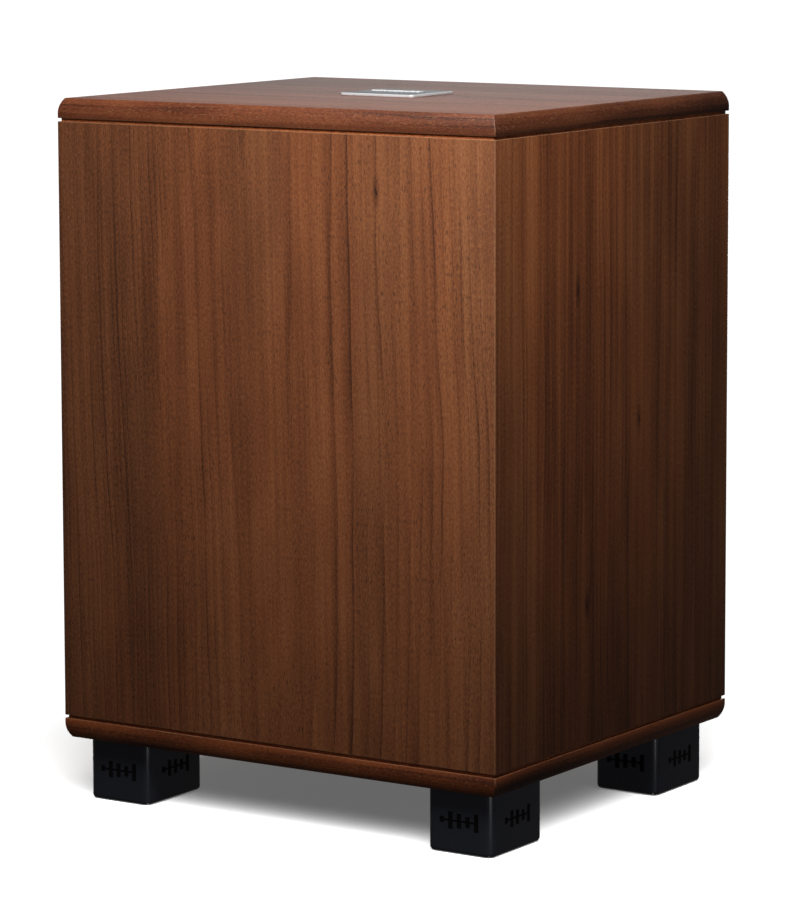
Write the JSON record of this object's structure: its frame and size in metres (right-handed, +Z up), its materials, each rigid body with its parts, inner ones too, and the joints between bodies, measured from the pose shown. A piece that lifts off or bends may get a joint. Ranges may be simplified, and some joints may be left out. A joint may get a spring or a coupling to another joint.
{
  "type": "powered subwoofer",
  "caption": "Veneered box subwoofer on block feet with a down-firing woofer, plate amplifier on the back, and working controls.",
  "frame": {"origin": "on the floor, under the middle of the whole object", "axes": "+X to the right of someone facing the front, +Y towards the amplifier at the back, +Z up"},
  "size_m": [0.35, 0.32, 0.4871],
  "materials": {
    "walnut_veneer": "satin",
    "stained_fibreboard": "matte",
    "badge_grey": "satin",
    "chrome_trim": "polished",
    "foot_plastic": "satin",
    "rubber": "matte",
    "zinc_steel": "satin",
    "painted_steel": "satin",
    "black_aluminium": "satin",
    "ferrite": "matte",
    "paper_cone": "matte",
    "spider_cloth": "matte",
    "enamelled_copper": "satin",
    "amber_film": "gloss",
    "black_plastic": "satin",
    "circuit_board": "satin",
    "capacitor_sleeve": "satin",
    "light_lens": "gloss"
  },
  "bodies": {
    "cabinet": {"front_panel": "walnut_veneer", "right_panel": "walnut_veneer", "left_panel": "walnut_veneer", "rear_panel": "walnut_veneer", "lid_panel": "walnut_veneer", "base_panel": "walnut_veneer", "top_reveal_frame": "stained_fibreboard", "base_reveal_frame": "stained_fibreboard", "window_brace": "stained_fibreboard", "badge_plate": "badge_grey", "badge_emblem": "chrome_trim", "foot_front_left": "foot_plastic", "foot_front_right": "foot_plastic", "foot_rear_left": "foot_plastic", "foot_rear_right": "foot_plastic", "foot_pad_front_left": "rubber", "foot_pad_front_right": "rubber", "foot_pad_rear_left": "rubber", "foot_pad_rear_right": "rubber", "woofer_gasket": "rubber", "woofer_trim_ring": "rubber", "surround": "rubber", "amp_gasket": "rubber", "foot_bolt_front_left": "zinc_steel", "foot_bolt_front_right": "zinc_steel", "foot_bolt_rear_left": "zinc_steel", "foot_bolt_rear_right": "zinc_steel", "magnet_top_plate": "zinc_steel", "magnet_yoke": "zinc_steel", "crossover_pot": "zinc_steel", "level_pot": "zinc_steel", "phase_switch_body": "zinc_steel", "mode_switch_body": "zinc_steel", "line_jack_left": "zinc_steel", "line_jack_right": "zinc_steel", "lfe_jack": "zinc_steel", "woofer_basket": "painted_steel", "amp_plate": "painted_steel", "heat_sink": "black_aluminium", "ferrite_magnet": "ferrite", "spider": "spider_cloth", "power_transformer": "enamelled_copper", "terminal_strip": "black_plastic", "mains_inlet": "black_plastic", "rocker_frame": "black_plastic", "woofer_lead": "black_plastic", "amp_board": "circuit_board", "filter_capacitor_left": "capacitor_sleeve", "filter_capacitor_right": "capacitor_sleeve", "status_light": "light_lens"},
    "cone_assembly": {"cone": "paper_cone", "dust_cap": "paper_cone", "coil_former": "amber_film", "voice_coil": "enamelled_copper"},
    "crossover_knob": {"crossover_knob": "black_plastic"},
    "level_knob": {"level_knob": "black_plastic"},
    "power_rocker": {"power_rocker": "black_plastic"},
    "phase_lever": {"phase_lever": "black_plastic"},
    "mode_lever": {"mode_lever": "black_plastic"},
    "fuse_drawer": {"fuse_drawer": "black_plastic"}
  },
  "joints": [
    {"name": "cone_slide", "type": "slide", "parent": "cabinet", "child": "cone_assembly", "axis": [0, 0, 1], "range_m": [-0.009, 0.009], "stiffness_N_per_m": 2500, "deforming": ["surround", "spider"]},
    {"name": "crossover_turn", "type": "hinge", "parent": "cabinet", "child": "crossover_knob", "pos_m": [0.082, 0.148, 0.188], "axis": [0, -1, 0], "range_deg": [-150, 150]},
    {"name": "level_turn", "type": "hinge", "parent": "cabinet", "child": "level_knob", "pos_m": [0.044, 0.148, 0.188], "axis": [0, -1, 0], "range_deg": [-150, 150]},
    {"name": "power_rock", "type": "hinge", "parent": "cabinet", "child": "power_rocker", "pos_m": [0.026, 0.148, 0.132], "axis": [1, 0, 0], "range_deg": [0, 22]},
    {"name": "phase_slide", "type": "slide", "parent": "cabinet", "child": "phase_lever", "axis": [0, 0, 1], "range_m": [0, 0.004]},
    {"name": "mode_slide", "type": "slide", "parent": "cabinet", "child": "mode_lever", "axis": [0, 0, 1], "range_m": [0, 0.004]},
    {"name": "fuse_drawer_slide", "type": "slide", "parent": "cabinet", "child": "fuse_drawer", "axis": [0, 1, 0], "range_m": [0, 0.014]}
  ]
}
